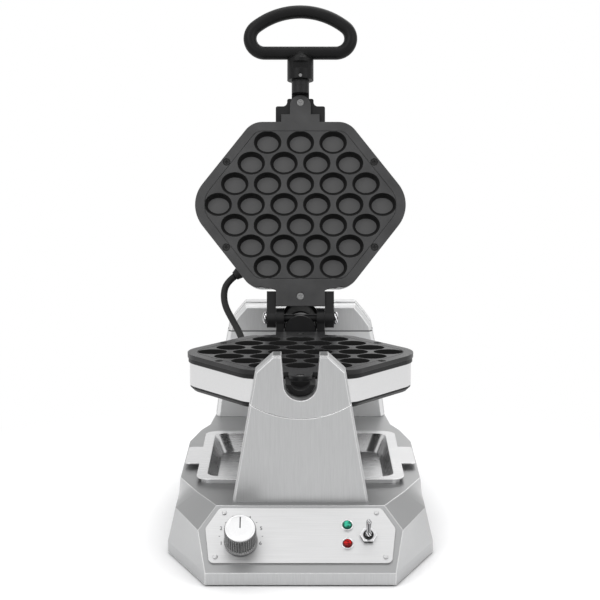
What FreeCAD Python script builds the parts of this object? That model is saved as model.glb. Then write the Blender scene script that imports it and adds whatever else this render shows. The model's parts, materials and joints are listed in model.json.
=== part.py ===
import FreeCAD, Part
import math
import os

V = FreeCAD.Vector
os.makedirs("parts", exist_ok=True)

# Rotary bubble waffle maker, millimetres. X right, Y to the rear, Z up from the table.
# Pieces are modelled around the centre of the cooking plates and moved so that the base is centred.

# Overall sizes
base_width = 243.0
deck_height = 58.4
plate_height = 165.8  # cooking plane and turning axis above the table
plate_width = 218.0  # corner to corner
plate_depth = 174.0  # flat to flat
lid_open_angle = 105.7

# Front to rear chain
tab_length = 28.4  # front tab beyond the plate
yoke_gap = 10.0
yoke_thickness = 22.3
deck_margin = 9.3  # deck in front of the yoke
hinge_reach = 29.8  # hinge axis behind the plate
tower_setback = 64.2  # tower face behind the hinge axis
tower_depth = 39.0
nose_height = 12.0  # foot of the sloping front
panel_angle = 46.0  # panel normal above the horizontal

# Base shell
wall = 2.5
foot_height = 1.5
waist_height = 41.0
waist_inset = 6.7
deck_inset = 8.9
nose_half_foot = 82.5
nose_half_waist = 90.0
nose_half_deck = 74.4
tail_inset = 17.0

# Grill halves
rim_thickness = 4.2
frame_thickness = 4.3
band_height = 22.3
cover_height = 5.4
plate_core = 11.0  # plate depth behind the pockets
frame_width = 8.0
flat_corner = 22.0
side_corner = 35.0
flat_length = 100.6  # before the corners are rounded
field_inset = 9.4  # groove around the pocket field
pocket_pitch = 34.0
pocket_row = 21.7
pocket_rows = (3, 4, 5, 6, 5, 4, 3)
pocket_length = 28.5
pocket_width = 24.1
pocket_depth = 8.5
closed_gap = 0.4  # between the closed plates

# Turning axis and hinge
shaft_radius = 9.0
bush_wall = 2.5
boss_radius = 17.0
run_fit = 0.05
hinge_rise = 12.3  # hinge axis above the cooking plane
pin_radius = 4.0
eye_radius = 10.0
arm_inner = 17.0
arm_width = 8.0
side_play = 0.3

# Handle
neck_radius = 13.7
neck_length = 21.7
stem_radius = 9.1
grip_radius = 6.9
notch_play = 1.3

# Worked out from the sizes above
side_half = base_width / 2
slope = math.tan(math.radians(panel_angle))
half_depth = plate_depth / 2
tab_tip = -(half_depth + tab_length)
yoke_rear = tab_tip - yoke_gap
yoke_front = yoke_rear - yoke_thickness
deck_front = yoke_front - deck_margin
base_front = deck_front - (deck_height - nose_height) * slope
hinge_y = half_depth + hinge_reach
tower_front = hinge_y + tower_setback
base_rear = tower_front + tower_depth
hinge_z = plate_height + hinge_rise
hinge_point = V(0, hinge_y, hinge_z)
arm_outer = arm_inner + arm_width


def save(node, shape):
    """Write one piece, moved so that the base is centred on the origin."""
    moved = shape.copy()
    moved.translate(V(0, head_shift, 0))
    moved.exportStep("parts/%s.step" % node)


def box(x0, x1, y0, y1, z0, z1):
    return Part.makeBox(x1 - x0, y1 - y0, z1 - z0, V(x0, y0, z0))


def rod(start, direction, radius, length):
    return Part.makeCylinder(radius, length, start, direction)


def tube(start, direction, radius, bore, length):
    return rod(start, direction, radius, length).cut(rod(start, direction, bore, length))


def both_sides(half):
    """Close a right-hand outline with its mirror image."""
    return list(half) + [(-x, w) for x, w in reversed(half)]


def flat_wire(points, level):
    return Part.makePolygon([V(x, y, level) for x, y in points + points[:1]])


def front_wire(points, depth):
    return Part.makePolygon([V(x, depth, z) for x, z in points + points[:1]])


def slab(points, z0, z1):
    return Part.Face(flat_wire(points, z0)).extrude(V(0, 0, z1 - z0))


def upright(points, y0, y1):
    return Part.Face(front_wire(points, y0)).extrude(V(0, y1 - y0, 0))


def loft(wires):
    return Part.makeLoft(wires, True, True)


def inset(points, gap):
    """Move every side of an outline inward by gap."""
    area = sum(a[0] * b[1] - b[0] * a[1] for a, b in zip(points, points[1:] + points[:1]))
    turn = 1 if area > 0 else -1
    lines = []
    for a, b in zip(points, points[1:] + points[:1]):
        length = math.hypot(b[0] - a[0], b[1] - a[1])
        nx = -(b[1] - a[1]) / length * turn
        ny = (b[0] - a[0]) / length * turn
        lines.append((nx, ny, nx * a[0] + ny * a[1] + gap))
    moved = []
    for (a1, b1, c1), (a2, b2, c2) in zip(lines[-1:] + lines[:-1], lines):
        det = a1 * b2 - a2 * b1
        moved.append(((c1 * b2 - c2 * b1) / det, (a1 * c2 - a2 * c1) / det))
    return moved


def arc_path(points, radii, closed=False):
    """Straight runs joined by tangent arcs; radii gives one radius per corner."""
    count = len(points)
    corners = range(count) if closed else range(1, count - 1)
    cuts = {}
    for i in corners:
        back = (points[i - 1] - points[i]).normalize()
        ahead = (points[(i + 1) % count] - points[i]).normalize()
        half_turn = (math.pi - back.getAngle(ahead)) / 2
        reach = radii[i] * math.tan(half_turn)
        middle = (back + ahead).normalize() * (radii[i] / math.cos(half_turn) - radii[i])
        cuts[i] = (points[i] + back * reach, points[i] + middle, points[i] + ahead * reach)
    edges = []
    for i in range(count):
        if i in cuts:
            edges.append(Part.Arc(*cuts[i]).toShape())
        if i == count - 1 and not closed:
            break
        start = cuts[i][2] if i in cuts else points[i]
        following = (i + 1) % count
        stop = cuts[following][0] if following in cuts else points[following]
        if (stop - start).Length > 1e-4:
            edges.append(Part.LineSegment(start, stop).toShape())
    return Part.Wire(edges)


def pipe(path, radius):
    start = path.Edges[0].firstVertex(True).Point
    tangent = path.Edges[0].tangentAt(path.Edges[0].FirstParameter)
    ring = Part.Wire([Part.Circle(start, tangent, radius).toShape()])
    return path.makePipeShell([ring], True, True)


def round_bar(edge, radius):
    """A round bar along one straight or circular edge."""
    start = edge.valueAt(edge.FirstParameter)
    way = edge.tangentAt(edge.FirstParameter)
    disc = Part.Face(Part.Wire([Part.Circle(start, way, radius).toShape()]))
    if isinstance(edge.Curve, Part.Line):
        return disc.extrude(way * edge.Length)
    return disc.revolve(edge.Curve.Center, edge.Curve.Axis, math.degrees(edge.Length / edge.Curve.Radius))


def group(solids):
    return Part.makeCompound(solids)


def rounded_wire(points, radii, level):
    return arc_path([V(x, y, level) for x, y in points], radii, True)


def rounded_slab(points, radius, z0, z1):
    wire = rounded_wire(points, [radius] * len(points), z0)
    return Part.Face(wire).extrude(V(0, 0, z1 - z0))


# Base shell
def base_outline(inset_by, front_half, front_y, corner_half, corner_y):
    reach = side_half - inset_by
    tail = reach - tail_inset
    corner_run = 48.0
    side_rear = half_depth - 16.0
    tail_y = hinge_y + 28.0
    half = [(front_half, front_y), (corner_half, corner_y), (reach, corner_y + corner_run)]
    half += [(reach, side_rear), (tail + 8.0, tail_y - 24.0), (tail, tail_y), (tail - 6.0, base_rear)]
    return both_sides(half)


def panel_y(level):
    return deck_front - (deck_height - level) * slope


corner_y = yoke_rear + 13.0
foot_outline = base_outline(0, nose_half_foot, base_front, side_half - 0.2, corner_y)
waist_half = side_half - waist_inset
waist_front = panel_y(waist_height)
waist_outline = base_outline(waist_inset, nose_half_waist, waist_front, waist_half - 0.2, corner_y + 8)
deck_half = side_half - deck_inset
deck_outline = base_outline(deck_inset, nose_half_deck, deck_front, deck_half - 18.0, corner_y)
tower_foot = deck_half - tail_inset - 3.6

# Control panel frame: along the slope from the deck's front edge, and out along its normal
angle = math.radians(panel_angle)
panel_normal = V(0, -math.cos(angle), math.sin(angle))
panel_down = V(0, -math.sin(angle), -math.cos(angle))
panel_origin = V(0, deck_front, deck_height)
panel_plate = 1.5
panel_top = 3.4
panel_length = 54.5
panel_half_top = 71.6
panel_half_wide = 83.6
panel_half_foot = 79.5
panel_shoulder = 23.7

# Places on the panel, across and down the slope
knob_place = (-52.0, 37.0)
green_place = (41.0, 21.2)
red_place = (41.0, 39.4)
switch_place = (59.3, 31.5)
rivet_places = ((-67.0, 8.4), (67.0, 8.4), (-74.0, 51.8), (74.0, 51.8))
rivet_radius = 2.2
lens_radius = 4.1
bezel_radius = 5.2
switch_bush = 4.4
nut_radius = 7.6
nut_height = 2.6
dial_shaft = 3.0


# The dial reaches furthest forward, the tower furthest back
knob_radius = 14.5
knob_height = 24.0
knob_lift = 0.6
knob_skirt = 5.0
knob_chamfer = 1.2
knob_top = panel_plate + knob_lift + knob_height
knob_edge = panel_down * (knob_place[1] + knob_radius) + panel_normal * (knob_top - knob_chamfer)
front_reach = deck_front + knob_edge.y
head_shift = -(front_reach + base_rear) / 2


def on_panel(place, rise=0.0):
    return panel_origin + V(place[0], 0, 0) + panel_down * place[1] + panel_normal * rise


def panel_rod(place, radius, low, high):
    return rod(on_panel(place, low), panel_normal, radius, high - low)


# Tray
tray_margin = 16.0  # deck beside the tray rim
tray_front = -(half_depth + 3.3)
tray_rear = half_depth + 7.5
tray_rise = 5.4
tray_sheet = 1.2
tray_floor = 45.0
tray_flange = 8.5
tray_lip = 4.0  # foot of the tray, in from the edge of its flange
tray_draft = 7.0
tray_ear = 13.8
tray_ear_front = -33.0
tray_ear_rear = 29.0
tray_half = deck_half - tray_margin
tray_clear = 2.0
tray_corner = 14.0
ear_corner = 5.0


def tray_rect(grow):
    half = [(tray_half + grow, tray_front - grow), (tray_half + grow, tray_rear + grow)]
    return both_sides(half)


def make_base_housing():
    levels = ((foot_height, foot_outline), (nose_height, foot_outline))
    levels += ((waist_height, waist_outline), (deck_height, deck_outline))
    outer = loft([flat_wire(points, level) for level, points in levels])
    tops = [level for level, points in levels[:-1]] + [deck_height - wall]
    inner = loft([flat_wire(inset(points, wall), top) for top, (level, points) in zip(tops, levels)])
    shell = outer.cut(inner)
    well = tray_rect(tray_clear - tray_flange)
    opening = rounded_slab(well, tray_corner, deck_height - 2 * wall, deck_height + 1)
    shell = shell.cut(opening)
    holes = [panel_rod(knob_place, dial_shaft + 1, -20, 5)]
    holes += [panel_rod(place, lens_radius + 0.4, -20, 5) for place in (green_place, red_place)]
    holes += [panel_rod(switch_place, switch_bush + 0.2, -20, 5)]
    gland_hole = rod(V(inlet_x, base_rear + 1, inlet_z), V(0, -1, 0), inlet_radius, 10)
    return shell.cut(holes + [gland_hole])


inlet_x = 55.0
inlet_z = 34.0
inlet_radius = 8.0
cover_thickness = 3.0


def make_bottom_cover():
    return slab(inset(foot_outline, wall), foot_height, foot_height + cover_thickness)


foot_radius = 13.0
foot_inset = 26.0


def foot_places():
    front = base_front + foot_inset
    rear = base_rear - foot_inset
    places = [(nose_half_foot - foot_inset / 2, front), (side_half - 17.0 - foot_inset, rear)]
    return [(side * x, y) for x, y in places for side in (-1, 1)]


def make_feet():
    feet = []
    for x, y in foot_places():
        pad = Part.makeCone(foot_radius - 1.5, foot_radius, foot_height, V(x, y, 0), V(0, 0, 1))
        recess = rod(V(x, y, -1), V(0, 0, 1), 4.5, 1 + foot_height / 2)
        feet.append(pad.cut(recess))
    return group(feet)


def panel_outline():
    half = [(panel_half_top, panel_top), (panel_half_wide, panel_shoulder)]
    half += [(panel_half_foot, panel_top + panel_length)]
    return both_sides(half)


def make_control_panel():
    points = [on_panel(place) for place in panel_outline()]
    plate = Part.Face(Part.makePolygon(points + points[:1])).extrude(panel_normal * panel_plate)
    corners = []
    for edge in plate.Edges:
        run = edge.Vertexes[1].Point - edge.Vertexes[0].Point
        if run.cross(panel_normal).Length < 1e-6:
            corners.append(edge)
    plate = plate.makeFillet(5.0, corners)
    holes = [panel_rod(knob_place, dial_shaft + 1, -1, 5)]
    holes += [panel_rod(place, lens_radius + 0.4, -1, 5) for place in (green_place, red_place)]
    holes += [panel_rod(switch_place, switch_bush + 0.2, -1, 5)]
    return plate.cut(holes)


def dome(place, radius, height, base):
    """A low round head standing on the panel."""
    head = panel_rod(place, radius, base, base + height)
    rim = [e for e in head.Edges if e.Length > radius and e.BoundBox.Center.sub(
        on_panel(place, base + height)).Length < 1e-3]
    return head.makeFillet(height * 0.8, rim)


def make_rivets():
    return group([dome(place, rivet_radius, 1.2, panel_plate) for place in rivet_places])


def make_bezels():
    rings = []
    for place in (green_place, red_place):
        ring = panel_rod(place, bezel_radius, panel_plate, panel_plate + 1.6)
        rings.append(ring.cut(panel_rod(place, lens_radius + 0.2, 0, 6)))
    return group(rings)


def make_lens(place):
    stem = panel_rod(place, lens_radius - 0.2, -14, panel_plate + 2)
    return stem.fuse(dome(place, lens_radius, 1.6, panel_plate + 1.6)).removeSplitter()


def make_switch_body():
    block_depth = 20.0
    front = -wall - 1.0
    block = Part.makeBox(15, 20, block_depth, V(-7.5, -10, -block_depth))
    turn = FreeCAD.Rotation(V(0, 0, 1), panel_normal)
    block.Placement = FreeCAD.Placement(on_panel(switch_place, front), turn)
    neck = panel_rod(switch_place, switch_bush, front, panel_plate + nut_height + 1.2)
    well = panel_rod(switch_place, switch_bush - 0.8, panel_plate, panel_plate + nut_height + 2)
    return block.fuse(neck).removeSplitter().cut(well)


def make_switch_nut():
    turn = math.pi / 3
    rise = on_panel(switch_place, panel_plate)
    ring = []
    for i in range(6):
        across = nut_radius * math.cos(i * turn)
        along = nut_radius * math.sin(i * turn)
        ring.append(rise + V(across, 0, 0) + panel_down * along)
    nut = Part.Face(Part.makePolygon(ring + ring[:1])).extrude(panel_normal * nut_height)
    return nut.cut(panel_rod(switch_place, switch_bush + 0.05, 0, 10))


toggle_rise = panel_plate + nut_height + 0.8
toggle_lean = 14.0
toggle_length = 15.5


def make_toggle_lever():
    pivot = on_panel(switch_place, toggle_rise)
    lean = math.radians(toggle_lean)
    along = panel_normal * math.cos(lean) - panel_down * math.sin(lean)
    ball = Part.makeSphere(switch_bush - 1.15, pivot)
    shank = Part.makeCone(1.6, 2.4, toggle_length, pivot, along)
    tip = Part.makeSphere(2.4, pivot + along * toggle_length)
    return ball.fuse([shank, tip]).removeSplitter()


thermostat_radius = 12.0
thermostat_depth = 14.0


def make_thermostat():
    top = -wall - 1.0
    body = panel_rod(knob_place, thermostat_radius, top - thermostat_depth, top)
    neck = panel_rod(knob_place, dial_shaft + 0.9, top, -0.2)
    bore = panel_rod(knob_place, dial_shaft + run_fit, top - 11, 2)
    return body.fuse(neck).removeSplitter().cut(bore)


def make_knob():
    low = panel_plate + knob_lift
    top = knob_top
    seat = on_panel(knob_place, low)
    skirt = Part.makeCone(knob_radius + 0.8, knob_radius, knob_skirt, seat, panel_normal)
    body = panel_rod(knob_place, knob_radius, low + knob_skirt, top)
    rim = [e for e in body.Edges if e.BoundBox.Center.sub(on_panel(knob_place, top)).Length < 1e-3]
    body = body.makeChamfer(knob_chamfer, rim)
    bore = panel_rod(knob_place, dial_shaft, low - 1, low + 14)
    return body.fuse(skirt).removeSplitter().cut(bore)


def make_dial_shaft():
    return panel_rod(knob_place, dial_shaft, -wall - 11.5, panel_plate + knob_lift + 14)


def make_terminal_block():
    floor = foot_height + cover_thickness
    body = box(-28, 28, half_depth + 20, half_depth + 44, floor, floor + 18)
    front = half_depth + 18
    slots = [box(x - 3, x + 3, front, front + 12, floor + 8, floor + 20) for x in (-18, -6, 6, 18)]
    return body.cut(slots)


def make_inlet_gland():
    axis = V(0, 1, 0)
    start = V(inlet_x, base_rear - wall - 5, inlet_z)
    body = rod(start, axis, inlet_radius - 0.2, wall + 4.8)
    flange = rod(V(inlet_x, base_rear - wall - 7, inlet_z), axis, inlet_radius + 3, 4.4)
    bore = rod(start - V(0, 5, 0), axis, 4.0, wall + 15)
    return body.fuse(flange).removeSplitter().cut(bore)


def lowered(points):
    """Bring the foot of an inset outline back to the deck."""
    return [(points[0][0], deck_height)] + points[1:-1] + [(points[-1][0], deck_height)]


# Front yoke
horn_rise = 25.4
horn_half = 24.4
shoulder_half = 40.0
shoulder_rise = 11.0
yoke_foot_half = 60.6
seam_middle = 31.3  # seam below the axis at the middle of the yoke
seam_edge = 16.8
seam_half = 47.0
seam_gap = 0.3
bevel = 1.6
notch_radius = neck_radius + notch_play
notch_flare = 2.2


def yoke_blank():
    half = [(yoke_foot_half, deck_height), (shoulder_half, plate_height + shoulder_rise)]
    half += [(horn_half, plate_height + horn_rise)]
    outline = both_sides(half)
    sections = [(yoke_front, bevel), (yoke_front + bevel, 0), (yoke_rear - bevel, 0), (yoke_rear, bevel)]
    wires = [front_wire(lowered(inset(outline, drop)), depth) for depth, drop in sections]
    blank = loft(wires)
    top = plate_height + horn_rise + 1
    funnel = both_sides([(notch_radius, plate_height), (notch_radius + notch_flare, top)])
    notch = rod(V(0, yoke_front - 1, plate_height), V(0, 1, 0), notch_radius, yoke_thickness + 2)
    return blank.cut([upright(funnel, yoke_front - 1, yoke_rear + 1), notch])


def seam_cylinder(shrink):
    drop = seam_middle - seam_edge
    radius = (seam_half ** 2 + drop ** 2) / (2 * drop)
    centre = V(0, yoke_front - 5, plate_height - seam_middle + radius)
    return rod(centre, V(0, 1, 0), radius - shrink, yoke_thickness + 10)


def make_yoke_cap():
    return yoke_blank().common(seam_cylinder(seam_gap))


def make_yoke_post():
    post = yoke_blank().cut(seam_cylinder(0))
    hollow_top = plate_height - seam_middle - 12.0
    lean = (yoke_foot_half - shoulder_half) / (plate_height + shoulder_rise - deck_height)
    low_half = yoke_foot_half - 2 * wall
    top_half = low_half - lean * (hollow_top - deck_height)
    hollow = both_sides([(low_half, deck_height - 1), (top_half, hollow_top)])
    return post.cut(upright(hollow, yoke_front + wall, yoke_rear - wall))


# Rear tower
tower_top = 15.6  # above the axis, as are the next three
tower_cheek_rise = 4.3
tower_temple_rise = -6.7
tower_waist_rise = -27.7
tower_brow = 59.4
tower_cheek = 69.2
tower_temple = 77.0
tower_waist = 81.0
tower_bevel = 4.0
tower_seam = 18.0
rear_wall = 3.5
upper_screws = plate_height - 7.8
lower_screws = deck_height + 27.6
tower_screw_places = ((-52, upper_screws), (52, upper_screws), (-66, lower_screws), (66, lower_screws))
tower_screw_head = 3.4
tower_screw_play = 0.2


def screw_at(place, play):
    """A countersunk screw in the rear wall, or its hole when given some play."""
    seat = V(place[0], base_rear, place[1])
    head = rod(seat, V(0, -1, 0), tower_screw_head + play, 1.4)
    return head.fuse(rod(seat, V(0, -1, 0), 1.8 + play, rear_wall + 4.0)).removeSplitter()


def tower_outline():
    half = [(tower_foot, deck_height), (tower_waist, plate_height + tower_waist_rise)]
    half += [(tower_temple, plate_height + tower_temple_rise)]
    half += [(tower_cheek, plate_height + tower_cheek_rise), (tower_brow, plate_height + tower_top)]
    return both_sides(half)


def make_tower_front():
    outline = tower_outline()
    seam = tower_front + tower_seam
    sections = ((tower_front, tower_bevel), (tower_front + tower_bevel, 1.0), (seam, 1.0))
    outer = loft([front_wire(lowered(inset(outline, drop)), depth) for depth, drop in sections])
    inner = upright(lowered(inset(outline, wall + 1.0)), tower_front + wall + 2.0, seam)
    bore = rod(V(0, tower_front - 1, plate_height), V(0, 1, 0), shaft_radius + bush_wall + 0.5, 20)
    return outer.cut([inner, bore])


def make_tower_rear():
    outline = tower_outline()
    seam = tower_front + tower_seam
    sections = ((seam, 0.0), (base_rear - tower_bevel, 0.0), (base_rear, tower_bevel))
    wires = [front_wire(lowered(inset(outline, drop)), depth) for depth, drop in sections]
    inner = upright(lowered(inset(outline, wall)), seam, base_rear - rear_wall)
    holes = [screw_at(place, tower_screw_play) for place in tower_screw_places]
    return loft(wires).cut([inner] + holes)


def make_tower_screws():
    return group([screw_at(place, 0) for place in tower_screw_places])


# Bearing in the tower and the shaft that turns in it
boss_front = hinge_y + 14.2
boss_flange = 20.0
boss_flange_depth = 4.0
bush_radius = shaft_radius + bush_wall
axis_y = V(0, 1, 0)
shaft_bore = 5.5
collar_radius = 12.0
collar_width = 8.0
bush_rear = tower_front + wall + 2.0
shaft_start = hinge_y + pin_radius + 0.6  # clear of the hinge pin


def on_axis(y):
    return V(0, y, plate_height)


def make_bearing_housing():
    boss = rod(on_axis(boss_front), axis_y, boss_radius, tower_front - boss_front)
    flange = rod(on_axis(tower_front - boss_flange_depth), axis_y, boss_flange, boss_flange_depth)
    bore = rod(on_axis(boss_front - 1), axis_y, bush_radius + run_fit, tower_front - boss_front + 2)
    return boss.fuse(flange).removeSplitter().cut(bore)


def make_bearing_bush():
    return tube(on_axis(boss_front), axis_y, bush_radius, shaft_radius + run_fit, bush_rear - boss_front)


def make_turning_shaft():
    return tube(on_axis(shaft_start), axis_y, shaft_radius, shaft_bore, bush_rear + 14.0 - shaft_start)


def make_shaft_collar():
    return tube(on_axis(bush_rear + 0.5), axis_y, collar_radius, shaft_radius + run_fit, collar_width)


# Grill halves: depth is measured from the cooking face, down for the lower half and up for the upper half
flat_half = flat_length / 2
side_angle = math.atan2(half_depth, plate_width / 2 - flat_half)
for step in range(8):
    corner_point = plate_width / 2 + side_corner * (1 / math.sin(side_angle) - 1)
    side_angle = math.atan2(half_depth, corner_point - flat_half)
corner_radii = (flat_corner, side_corner, flat_corner) * 2
hexagon = both_sides([(flat_half, -half_depth), (corner_point, 0), (flat_half, half_depth)])
tab_half = 10.8
tab_step = 8.0
tab_step_half = 19.9
rear_tab_half = 25.2
rear_tab_length = 18.6
plate_screw_places = ((-76.5, -44.6), (76.5, -44.6), (-76.5, 44.6), (76.5, 44.6))
tab_screw_places = ((0, tab_tip + 7.6), (0, half_depth + 8.3))
screw_head = 3.6
screw_shank = 2.0
head_drop = 0.6  # screw heads below the cooking face
head_height = 1.6
screw_play = 0.3
cross_half = 0.45
cross_reach = 2.0
cross_depth = 0.9
groove_width = 0.7
groove_depth = 0.6
dip_place = 41.0
dip_radius = 7.0
dip_depth = 1.7


class Half:
    """Heights of one grill half."""

    def __init__(self, up):
        self.sign = 1 if up else -1
        self.face = plate_height + (closed_gap if up else 0)

    def level(self, depth):
        return self.face + self.sign * depth

    def slab(self, points, start, stop):
        return slab(points, *sorted((self.level(start), self.level(stop))))

    def hexagon(self, gap, start, stop):
        points = inset(hexagon, gap) if gap else hexagon
        low, high = sorted((self.level(start), self.level(stop)))
        wire = rounded_wire(points, [radius - gap for radius in corner_radii], low)
        return Part.Face(wire).extrude(V(0, 0, high - low))

    def rod(self, place, radius, start, stop):
        low, high = sorted((self.level(start), self.level(stop)))
        return rod(V(place[0], place[1], low), V(0, 0, 1), radius, high - low)


lower = Half(False)
upper = Half(True)
frame_bottom = rim_thickness + frame_thickness
band_bottom = frame_bottom + band_height


def pocket_places():
    for row, count in enumerate(pocket_rows):
        y = (row - (len(pocket_rows) - 1) / 2) * pocket_row
        for i in range(count):
            yield ((i - (count - 1) / 2) * pocket_pitch, y)


def pocket_tool(half):
    """A bowl with sloping sides and a flat floor."""
    stages = ((-0.5, -0.4), (2.6, 0.9), (6.4, 2.4), (pocket_depth, 5.4))  # depth, inset of the oval
    rings = []
    for depth, shrink in stages:
        centre = V(0, 0, half.level(depth))
        oval = Part.Ellipse(centre, pocket_length / 2 - shrink * 0.6, pocket_width / 2 - shrink * 0.72)
        rings.append(Part.Wire([oval.toShape()]))
    return Part.makeLoft(rings, True, False)


def screw_solid(half, place, play=0.0):
    head = half.rod(place, screw_head + play, head_drop if not play else -1, head_drop + head_height)
    return head.fuse(half.rod(place, screw_shank + play, head_drop, plate_core - 2)).removeSplitter()


def make_plate(half):
    plate = half.hexagon(0, 0, rim_thickness)
    core = half.hexagon(frame_width, rim_thickness, plate_core)
    step = both_sides([(tab_step_half, -half_depth - tab_step), (tab_step_half, -half_depth + 5)])
    tongue = both_sides([(tab_half, tab_tip + tab_half), (tab_half, -half_depth + 5)])
    rear = both_sides([(rear_tab_half + 14, half_depth - 4), (rear_tab_half + 14, half_depth - 3),
                       (rear_tab_half, half_depth + 2), (rear_tab_half, half_depth + rear_tab_length)])
    tabs = [half.slab(points, 0, rim_thickness) for points in (step, tongue, rear)]
    tabs.append(half.rod((0, tab_tip + tab_half), tab_half, 0, rim_thickness))
    plate = plate.fuse([core] + tabs).removeSplitter()
    tool = pocket_tool(half)
    cuts = []
    for x, y in pocket_places():
        bowl = tool.copy()
        bowl.translate(V(x, y, 0))
        cuts.append(bowl)
    cuts += [screw_solid(half, place, screw_play) for place in plate_screw_places + tab_screw_places]
    groove = half.hexagon(field_inset, -1, groove_depth)
    cuts.append(groove.cut(half.hexagon(field_inset + groove_width, -1, groove_depth)))
    return plate.cut(cuts + shoulder_dips(half))


def shoulder_dips(half):
    """Small hollows in the rear edge on each side of the tab."""
    edge = half_depth + dip_radius - dip_depth
    return [half.rod((side * dip_place, edge), dip_radius, -1, frame_bottom + 1) for side in (-1, 1)]


def make_frame(half):
    ring = half.hexagon(0.8, rim_thickness, frame_bottom)
    ring = ring.cut(half.hexagon(frame_width - 0.3, rim_thickness, frame_bottom))
    holes = [screw_solid(half, place, screw_play) for place in plate_screw_places]
    return ring.cut(holes + shoulder_dips(half))


band_inset = 2.0
cover_inset = 2.4
band_sheet = 1.2
gland_radius = 6.2
gland_mouth = 4.6
gland_length = 7.0
gland_depth = 19.8  # below the cooking face
gland_spigot = 2.5
gland_share = 0.2  # along the side from the rear corner


def gland_frame(half):
    """Where a cable gland stands on the band, and which way it points."""
    outline = inset(hexagon, band_inset)
    rear, side = outline[3], outline[4]
    run = V(side[0] - rear[0], side[1] - rear[1], 0)
    outward = V(run.y, -run.x, 0).normalize()
    if half is upper:
        place = V(rear[0], rear[1], 0) + run * gland_share
    else:
        outward = (outward + V(0, 1, 0)).normalize()
        place = V(rear[0], rear[1], 0) - outward * 2.2
    return V(place.x, place.y, half.level(gland_depth)), outward


def make_band(half):
    ring = half.hexagon(band_inset, frame_bottom, band_bottom)
    ring = ring.cut(half.hexagon(band_inset + band_sheet, frame_bottom, band_bottom))
    place, outward = gland_frame(half)
    return ring.cut(rod(place - outward * 6, outward, gland_radius + 0.1, 20))


def make_gland(half):
    place, outward = gland_frame(half)
    spigot = rod(place - outward * gland_spigot, outward, gland_radius, gland_spigot + 1.5)
    nose = Part.makeCone(gland_radius, gland_mouth, gland_length - 1.5, place + outward * 1.5, outward)
    return spigot.fuse(nose).removeSplitter()


def gland_end(half):
    place, outward = gland_frame(half)
    return place + outward * gland_length, outward


def make_cover(half):
    bottom = band_bottom + cover_height
    dish = half.hexagon(cover_inset, band_bottom, bottom)
    level = half.level(bottom)
    rim = [e for e in dish.Edges if abs(e.BoundBox.ZMin - level) + abs(e.BoundBox.ZMax - level) < 1e-4]
    dish = dish.makeChamfer(3.4, rim)
    return dish.cut(half.hexagon(cover_inset + 5.0, band_bottom, bottom - 2.0))


element_ring = 55.0
element_radius = 3.2


def make_element(half):
    level = half.level(plate_core + element_radius + 0.2)
    return Part.makeTorus(element_ring, element_radius, V(0, 0, level))


def cross_recess(half, place):
    x, y = place
    arms = []
    for wide, deep in ((cross_half, cross_reach), (cross_reach, cross_half)):
        corners = [(x - wide, y - deep), (x + wide, y - deep), (x + wide, y + deep), (x - wide, y + deep)]
        arms.append(half.slab(corners, head_drop - 1, head_drop + cross_depth))
    return arms


def make_screws(half, places):
    return group([screw_solid(half, place).cut(cross_recess(half, place)) for place in places])


# Hinge: the bracket on the turning head, its pin, and the arms on the lid
lid_arm_width = 9.3
lid_arm_inner = arm_outer + side_play
lid_arm_outer = lid_arm_inner + lid_arm_width
pin_end = lid_arm_outer + side_play
hub_radius = 16.0
hub_front = hinge_y - 6.8
hub_rear = hinge_y + 11.2
bracket_bottom = plate_height - 14.0
axis_x = V(1, 0, 0)
cap_radius = 6.6
cap_height = 4.0


def across(start, stop, radius):
    """A round along the hinge axis."""
    return rod(V(start, hinge_y, hinge_z), axis_x, radius, stop - start)


def make_hinge_bracket():
    hub = rod(on_axis(hub_front), axis_y, hub_radius, hub_rear - hub_front)
    block = box(-arm_outer, arm_outer, hinge_y - 9, hub_rear, bracket_bottom, plate_height - 4)
    tongue = box(-20, 20, half_depth + 3, hinge_y - 5, bracket_bottom, plate_height - rim_thickness)
    pieces = [block, tongue]
    for low, high in ((-arm_outer, -arm_inner), (arm_inner, arm_outer)):
        pieces.append(box(low, high, hinge_y - 9, hinge_y + 9, bracket_bottom, hinge_z))
        pieces.append(across(low, high, eye_radius))
    bracket = hub.fuse(pieces).removeSplitter()
    socket = rod(on_axis(shaft_start), axis_y, shaft_radius + run_fit, 20)
    hole = screw_solid(lower, tab_screw_places[1], screw_play)
    return bracket.cut([socket, hole, across(-arm_outer, arm_outer, pin_radius + run_fit)])


def make_hinge_pin():
    return across(-pin_end - 2, pin_end + 2, pin_radius)


def make_pin_caps():
    caps = []
    for side in (-1, 1):
        cap = rod(V(side * pin_end, hinge_y, hinge_z), axis_x * side, cap_radius, cap_height)
        far = side * (pin_end + cap_height)
        rim = [e for e in cap.Edges if abs(e.BoundBox.XMin - far) + abs(e.BoundBox.XMax - far) < 1e-4]
        cap = cap.makeFillet(cap_height * 0.8, rim)
        caps.append(cap.cut(across(-pin_end - 2, pin_end + 2, pin_radius)))
    return group(caps)


def make_lid_arms():
    low = upper.level(rim_thickness)
    bar = box(-lid_arm_outer, lid_arm_outer, half_depth + 3, half_depth + 16, low, low + 8)
    pieces = []
    for start, stop in ((-lid_arm_outer, -lid_arm_inner), (lid_arm_inner, lid_arm_outer)):
        pieces.append(box(start, stop, half_depth + 3, hinge_y, plate_height + 3, low + 8))
        pieces.append(across(start, stop, eye_radius))
    arms = bar.fuse(pieces).removeSplitter()
    return arms.cut([across(-pin_end, pin_end, pin_radius + run_fit),
                     screw_solid(upper, tab_screw_places[1], screw_play)])


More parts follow.
